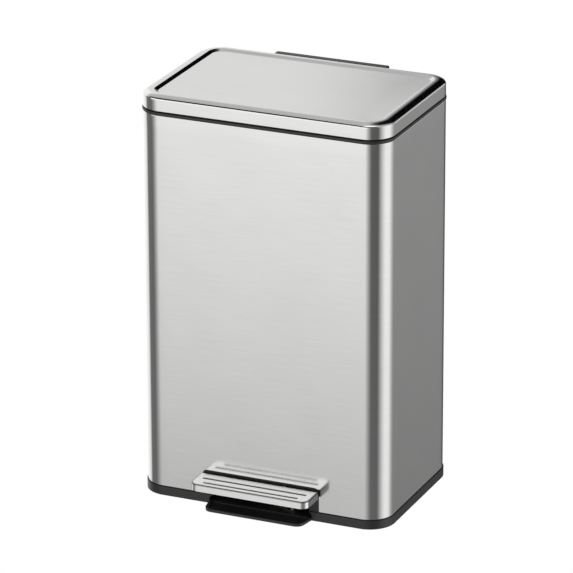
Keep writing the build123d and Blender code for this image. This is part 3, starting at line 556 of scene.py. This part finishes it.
# The tread's grid: where its even rows and columns begin, how far the finer ones reach before and
# past a groove's end and to each side of it, the rows of its skirt as shares, and from which share
# on the skirt takes the fold's painted shade
TREAD_MARGIN = 2 * MM
GROOVE_BEFORE, GROOVE_PAST, GROOVE_SIDE = 4.4 * MM, 1.8 * MM, 3.8 * MM
SKIRT_ROWS = [0.0, 0.3, 0.92, 1.0]
FOLD_SHARE = 0.99
# The painted shade: how many half widths of a groove it reaches, and over what distance the fold's fades
SHADE_REACH = 1.7
FOLD_FADE = 1.2 * MM


class CAN_OT_finishes(bpy.types.Operator):
    """Give every CAD node the material of its slot"""

    bl_idname = "pedal_can.finishes"
    bl_label = "Finishes"

    def execute(self, context):
        made = finishes()
        for subpart in frame["record"]["subparts"]:
            mesh = frame["nodes"][subpart["node"]].data
            mesh.materials.clear()
            mesh.materials.append(made[subpart["material_slot"]])
        return {"FINISHED"}


class CAN_OT_body(bpy.types.Operator):
    """Wrap the body's steel sheet round its outline and cut the pedal's opening"""

    bl_idname = "pedal_can.body"
    bl_label = "Steel body"

    def execute(self, context):
        # A straight profile carried round the outline, its top turned inwards by a quarter circle. The
        # cells inside the opening are left out, and the grid is drawn onto the opening's round corners.
        body = context.scene.can_body
        near = np.linspace(0, body.door_corner, 7)
        edge = body.door_half - body.door_corner
        far = edge + NEAR_DOOR[-1]
        pins = np.concatenate([-(edge + near)[::-1], edge + near, [-far, far]])
        path = outline(body.width / 2, body.depth / 2, body.corner, (0, body.middle), front=tuple(pins))
        door_side = body.door_top - body.door_corner
        heights = np.unique(np.concatenate([
            np.linspace(body.low, door_side, 5),
            door_side + near,
            body.door_top + NEAR_DOOR,
            np.linspace(body.door_top + EVEN_ROWS, body.top - body.hem, 24), [body.top],
        ]).round(BODY_DIGITS))
        profile = np.stack([np.zeros_like(heights), heights], 1)
        profile = np.concatenate([profile[:-1], arc((body.hem, body.top - body.hem), body.hem, 180, 90)])
        points = carried(path, profile)
        columns = points[0, :, 0]
        on_front = points[0, :, 1] < body.middle - body.depth / 2 + WELD
        x, z = points[:, :, 0], points[:, :, 2]
        for side in (-1, 1):
            new_x, new_z = rounded_corner(x, z, side * edge, door_side, body.door_corner, 1, DOOR_FADE)
            x = np.where(on_front[None, :], new_x, x)
            z = np.where(on_front[None, :], new_z, z)
        points = np.stack([x, points[:, :, 1], z], 2)
        middle_x = (columns[:-1] + columns[1:]) / 2
        middle_z = (profile[:-1, 1] + profile[1:, 1]) / 2
        both_front = on_front[:-1] & on_front[1:]
        hole = (
            (np.abs(middle_x) < body.door_half)[None, :]
            & both_front[None, :]
            & (middle_z < body.door_top)[:, None]
        )
        piece = sheet(
            "steel_body", [(points, walk_uv(path, profile), ~hole)], finishes()["brushed_steel"], body.sheet
        )
        place(piece, "can", "brushed_steel", "outer_shell")
        return {"FINISHED"}


class CAN_OT_lid(bpy.types.Operator):
    """Press the lid: skirt, turned edge, crowned rim and sunk panel"""

    bl_idname = "pedal_can.lid"
    bl_label = "Steel lid"

    def execute(self, context):
        body, lid = context.scene.can_body, context.scene.can_lid
        path = outline(body.width / 2, body.depth / 2, body.corner, (0, body.middle))
        # Skirt and turned edge are a line and an arc. With s the share of the way from there to the
        # highest line, the rim's height = low + (crown - low) * (1 - (1 - s) ^ power). An arc, a straight
        # fall and an arc lead down to the panel, which runs straight to a line along its middle.
        turned = math.radians(EDGE_TURN)
        start = lid.bend * (1 - math.cos(turned))
        low = lid.edge - lid.bend + lid.bend * math.sin(turned)
        share = np.linspace(0, 1, 13)[1:]
        rim = np.stack([
            start + (lid.crown_inset - start) * share,
            low + (lid.crown - low) * (1 - (1 - share) ** CROWN_POWER),
        ], 1)
        slope = math.degrees(math.atan2(lid.crown - lid.edge, lid.panel_inset - lid.crown_inset))
        fall = slope + ROLL_EASE
        roll_over = arc((lid.crown_inset, lid.crown - ROLL), ROLL, 90, 90 - fall, 5)[1:]
        foot = arc((lid.panel_inset + FOOT_STEP, lid.edge + ROLL), ROLL, 270 - fall, 270, 5)
        skirt = np.array([[0, lid.skirt_low], [0, lid.skirt_low + SKIRT_HEM], [0, lid.edge - lid.bend]])
        bend = arc((lid.bend, lid.edge - lid.bend), lid.bend, 180, 180 - EDGE_TURN, 7)[1:]
        wall = np.concatenate([skirt, bend])
        top = np.concatenate([bend[-1:], rim, roll_over, foot])
        walls, tops = carried(path, wall), carried(path, top)
        spine = np.clip(path[0][:, 0], -(body.width - body.depth) / 2, (body.width - body.depth) / 2)
        centre = np.stack([spine, np.full_like(spine, body.middle), np.full_like(spine, lid.edge)], 1)
        share = np.linspace(0, 1, 4)[:, None, None]
        panel = (1 - share) * tops[-1][None] + share * centre[None]
        piece = sheet(
            "steel_lid",
            [
                (walls, walk_uv(path, wall), None),
                (tops, tops[:, :, :2], None),
                (panel, panel[:, :, :2], None),
            ],
            finishes()["brushed_steel"],
            lid.sheet,
        )
        place(piece, "lid", "brushed_steel", "lid_shell")
        return {"FINISHED"}


class CAN_OT_pedal(bpy.types.Operator):
    """Press the pedal's tread with its two grooves"""

    bl_idname = "pedal_can.pedal"
    bl_label = "Pedal tread"

    def execute(self, context):
        pedal = context.scene.can_pedal
        bend = pedal.bend * (1 - np.cos(np.linspace(0, math.pi / 2, 7)))
        groove_places = [
            (pedal.front + pedal.rear_groove, pedal.rear_half),
            (pedal.front + pedal.near_groove, pedal.near_half),
        ]
        across = np.linspace(-pedal.half + TREAD_MARGIN, pedal.half - TREAD_MARGIN, 90)
        round_end = np.linspace(-GROOVE_BEFORE, GROOVE_PAST, 11)
        round_line = np.linspace(-GROOVE_SIDE, GROOVE_SIDE, 21)
        ends = np.concatenate([side * (half + round_end) for _, half in groove_places for side in (-1, 1)])
        corner_steps = np.linspace(TREAD_MARGIN, pedal.corner, 9)
        columns = np.unique(np.concatenate([
            -pedal.half + bend, pedal.half - bend, across, ends,
            -pedal.half + corner_steps, pedal.half - corner_steps,
        ]).round(TREAD_DIGITS))
        near_groove = np.concatenate([groove_y + round_line for groove_y, _ in groove_places])
        rows = np.unique(np.concatenate([
            pedal.front + bend, [pedal.back], near_groove, pedal.front + corner_steps,
            np.linspace(pedal.front + TREAD_MARGIN, pedal.back - TREAD_MARGIN, 16),
        ]).round(TREAD_DIGITS))
        # Height = the top's slope - the edge's drop - the grooves. With g the way in from the edge and r
        # the bend, the drop = r - sqrt(r^2 - (r - g)^2). With t the distance from a groove's line in
        # half widths, the groove = depth * sqrt(1 - t^2).
        x, y = np.meshgrid(columns, rows)
        gap = np.minimum(pedal.half - np.abs(x), y - pedal.front)
        inner = np.clip(pedal.bend - gap, 0, pedal.bend)
        drop = pedal.bend - np.sqrt(np.maximum(pedal.bend**2 - inner**2, 0))
        rise = (pedal.top_back - pedal.top_front) / (pedal.back - pedal.front)
        top = pedal.top_front + rise * (y - pedal.front)
        z = top - drop
        # Painted shade: a share that darkens the tread's colour in and beside its grooves and along its
        # fold
        painted_shade = np.zeros_like(z)
        for groove_y, half in groove_places:
            beyond = np.maximum(np.abs(x) - (half - pedal.groove_half), 0)
            away = np.hypot(beyond, y - groove_y) / pedal.groove_half
            z = z - pedal.groove_depth * np.sqrt(np.clip(1 - away**2, 0, 1))
            painted_shade = np.maximum(painted_shade, smooth(SHADE_REACH - away))
        painted_shade = np.maximum(painted_shade, smooth((pedal.line - gap) / FOLD_FADE))
        for side in (-1, 1):
            x, y = rounded_corner(
                x, y, side * (pedal.half - pedal.corner), pedal.front + pedal.corner, pedal.corner, -1
            )
        points = np.stack([x, y, z], 2)
        rim = np.concatenate([points[0, :-1], points[:-1, -1], points[-1, :0:-1], points[::-1, 0]])
        heights = np.array(SKIRT_ROWS)[:, None]
        skirt = np.repeat(rim[None], len(heights), 0)
        skirt[:, :, 2] = pedal.low + (rim[None, :, 2] - pedal.low) * heights
        walked = np.concatenate([[0.0], np.cumsum(np.linalg.norm(np.diff(rim[:, :2], axis=0), axis=1))])
        skirt_uv = np.stack([np.repeat(walked[None], len(heights), 0), skirt[:, :, 2]], 2)
        # The skirt's top row takes the fold's painted shade
        fold = np.broadcast_to(heights > FOLD_SHARE, skirt.shape[:2])
        piece = sheet(
            "pedal_tread_plate",
            [(points, points[:, :, :2], None, painted_shade), (skirt, skirt_uv, None, fold)],
            finishes()["tread_steel"],
            pedal.sheet,
        )
        place(piece, "pedal", "brushed_steel", "pedal_tread")
        return {"FINISHED"}


# Stage -------------------------------------------------------------------------------------------

TENT_RADIUS = 3.2
TENT_COLUMNS, TENT_ROWS = 241, 121
FLOOR_REACH = 12.0
# How far the floor lies under the feet, so that it never cuts them
FLOOR_DROP = 2 * MM
FULL_TURN = 360
SENSOR_WIDTH = 36
CLIP_END = 60
WHITE = (1, 1, 1, 1)
# The studio's walls by direction, in degrees from the front towards the right: the level just under
# the horizon and the level lower down
WALL_LEVELS = [
    (-180, 0.12, 0.10), (-165, 0.12, 0.10), (-158, 1.10, 1.00), (-140, 1.20, 1.12), (-112, 1.20, 1.12),
    (-94, 1.00, 0.90), (-85, 0.20, 0.18), (-57, 0.16, 0.17), (-44, 0.50, 0.38), (-32, 1.02, 0.58),
    (-26, 1.09, 0.61), (-20, 1.12, 0.64), (2, 1.10, 0.64), (12, 0.62, 0.45), (26, 0.14, 0.17),
    (55, 0.12, 0.16), (65, 0.48, 0.42), (76, 0.85, 0.78), (88, 1.16, 1.06), (108, 1.16, 1.06),
    (121, 0.75, 0.62), (132, 0.45, 0.36), (142, 0.35, 0.27), (158, 0.34, 0.26), (163, 0.12, 0.10),
    (180, 0.12, 0.10),
]
# The elevations of those two levels, and the power that eases between them
LEVEL_HIGH = -7.0
LEVEL_LOW = -22.0
LEVEL_EASE = 0.7
# Soft boxes and flags over the walls: azimuth and elevation limits, edge softness and level
PANELS = [
    (-180, 180, 46, 110, 10, 0.6),
    (-180, 180, 78, 110, 6, 1.7),
    (-60, 10, 4, 42, 6, 1.3),
    (-200, -142, 8, 40, 7, 0.92),
    (-170, -110, 44, 70, 8, 0.62),
    (160, 197, 10, 72, 14, 0.0),
    (-110, 60, 47, 76, 5, 0.0),
    (140, 164, 10, 32, 6, 0.75),
]


def wall_level(azimuth, elevation):
    """The level by direction: straight between the listed directions and eased between the two heights."""
    places = np.array(WALL_LEVELS)
    high = np.interp(azimuth, places[:, 0], places[:, 1])
    low = np.interp(azimuth, places[:, 0], places[:, 2])
    share = np.clip((elevation - LEVEL_LOW) / (LEVEL_HIGH - LEVEL_LOW), 0, 1) ** LEVEL_EASE
    return low + (high - low) * share


def window(value, low, high, soft):
    """One between two limits, easing to nought over the softness."""
    return smooth((value - low) / soft + 0.5) * smooth((high - value) / soft + 0.5)


def tent_level(azimuth, elevation):
    """The walls' level with each panel laid over it in turn, by its own window."""
    level = wall_level(azimuth, elevation)
    for low_a, high_a, low_e, high_e, soft, value in PANELS:
        cover = window(elevation, low_e, high_e, soft)
        if high_a - low_a < FULL_TURN:
            turned = (azimuth - low_a) % FULL_TURN + low_a
            turned = np.where(turned > low_a + FULL_TURN - soft, turned - FULL_TURN, turned)
            cover = cover * window(turned, low_a, high_a, soft)
        level = level * (1 - cover) + value * cover
    return level


def glow(name, points, level, strength):
    """A stage surface that shines with its own level at each point and isn't seen by the camera."""
    rows, cols = points.shape[:2]
    index = np.arange(rows * cols).reshape(rows, cols)
    quads = np.stack([index[:-1, :-1], index[:-1, 1:], index[1:, 1:], index[1:, :-1]], 2).reshape(-1, 4)
    mesh = bpy.data.meshes.new(name)
    mesh.from_pydata(points.reshape(-1, 3).tolist(), [], quads.tolist())
    attribute = mesh.attributes.new("level", "FLOAT", "POINT")
    attribute.data.foreach_set("value", level.ravel().astype(np.float32))
    material, tree, output = blank_material(name + "_light")
    read = add(tree, "Attribute", {"attribute_name": "level"}).outputs["Fac"]
    power = add(tree, "Math", {"operation": "MULTIPLY"}, i0=read, i1=strength).outputs[0]
    shine = add(tree, "Emission", Color=WHITE, Strength=power)
    tree.links.new(shine.outputs[0], output.inputs[0])
    mesh.materials.append(material)
    made = bpy.data.objects.new(name, mesh)
    bpy.context.scene.collection.objects.link(made)
    made.visible_camera = False
    return made


class CAN_OT_stage(bpy.types.Operator):
    """Set the pale floor, the soft studio walls and the camera"""

    bl_idname = "pedal_can.stage"
    bl_label = "Stage"

    def execute(self, context):
        scene, stage = context.scene, context.scene.can_stage
        azimuth, elevation = np.meshgrid(
            np.linspace(-180, 180, TENT_COLUMNS), np.linspace(-90, 90, TENT_ROWS)
        )
        # A whole sphere: radius * (sin azimuth cos elevation, -cos azimuth cos elevation, sin elevation)
        a, e = np.radians(azimuth), np.radians(elevation)
        tent = TENT_RADIUS * np.stack([np.sin(a) * np.cos(e), -np.cos(a) * np.cos(e), np.sin(e)], 2)
        glow("studio_walls", tent, tent_level(azimuth, elevation), stage.light)

        corners = np.array([[-1, -1], [1, -1], [1, 1], [-1, 1]]) * FLOOR_REACH
        mesh = bpy.data.meshes.new("pale_floor")
        corners = np.column_stack([corners, np.full(len(corners), -FLOOR_DROP)])
        mesh.from_pydata(corners.tolist(), [], [(0, 1, 2, 3)])
        material, tree, output = blank_material("pale_floor_paint")
        back = add(tree, "NewGeometry").outputs["Backfacing"]
        shown = add(tree, "Emission", Color=WHITE, Strength=1.0).outputs[0]
        clear = add(tree, "BsdfTransparent").outputs[0]
        mix = add(tree, "MixShader", i0=back, i1=shown, i2=clear)
        tree.links.new(mix.outputs[0], output.inputs[0])
        mesh.materials.append(material)
        floor = bpy.data.objects.new("pale_floor", mesh)
        scene.collection.objects.link(floor)
        floor.visible_diffuse = False
        floor.visible_glossy = False
        floor.visible_shadow = False

        world = bpy.data.worlds.new("pale_studio")
        world.use_nodes = True
        world.node_tree.nodes["Background"].inputs["Color"].default_value = WHITE
        scene.world = world

        back_axis = Vector((
            math.sin(stage.azimuth) * math.cos(stage.elevation),
            -math.cos(stage.azimuth) * math.cos(stage.elevation),
            math.sin(stage.elevation),
        ))
        right = Vector((math.cos(stage.azimuth), math.sin(stage.azimuth), 0))
        up = back_axis.cross(right)
        right = math.cos(stage.roll) * right + math.sin(stage.roll) * up
        up = back_axis.cross(right)
        eye = Vector(stage.target) + stage.distance * back_axis
        camera = bpy.data.cameras.new("camera")
        camera.lens = stage.lens
        camera.sensor_width = SENSOR_WIDTH
        camera.clip_end = CLIP_END
        rig = bpy.data.objects.new("camera", camera)
        rig.matrix_world = Matrix((
            (right.x, up.x, back_axis.x, eye.x),
            (right.y, up.y, back_axis.y, eye.y),
            (right.z, up.z, back_axis.z, eye.z),
            (0, 0, 0, 1),
        ))
        scene.collection.objects.link(rig)
        scene.camera = rig
        scene.view_settings.view_transform = "Standard"
        return {"FINISHED"}


class CAN_PT_panel(bpy.types.Panel):
    """Lists the can's pieces and their settings"""

    bl_idname = "CAN_PT_panel"
    bl_label = "Pedal can"
    bl_space_type = "VIEW_3D"
    bl_region_type = "UI"
    bl_category = "Pedal can"

    def draw(self, context):
        for operator in OPERATORS:
            self.layout.operator(operator.bl_idname)
        for name in SETTINGS:
            group = getattr(context.scene, name)
            column = self.layout.column(heading=name)
            for key in group.__annotations__:
                column.prop(group, key)


OPERATORS = (CAN_OT_finishes, CAN_OT_body, CAN_OT_lid, CAN_OT_pedal, CAN_OT_stage)


def register():
    """Registers the settings, the operators and the panel."""
    for name, group in SETTINGS.items():
        bpy.utils.register_class(group)
        setattr(bpy.types.Scene, name, PointerProperty(type=group))
    for operator in OPERATORS:
        bpy.utils.register_class(operator)
    bpy.utils.register_class(CAN_PT_panel)


def unregister():
    """Takes away what register added."""
    bpy.utils.unregister_class(CAN_PT_panel)
    for operator in reversed(OPERATORS):
        bpy.utils.unregister_class(operator)
    for name, group in SETTINGS.items():
        delattr(bpy.types.Scene, name)
        bpy.utils.unregister_class(group)


def main():
    """Builds every piece and the stage."""
    register()
    bpy.ops.pedal_can.finishes()
    bpy.ops.pedal_can.body()
    bpy.ops.pedal_can.lid()
    bpy.ops.pedal_can.pedal()
    bpy.ops.pedal_can.stage()


if __name__ == "__main__":
    main()
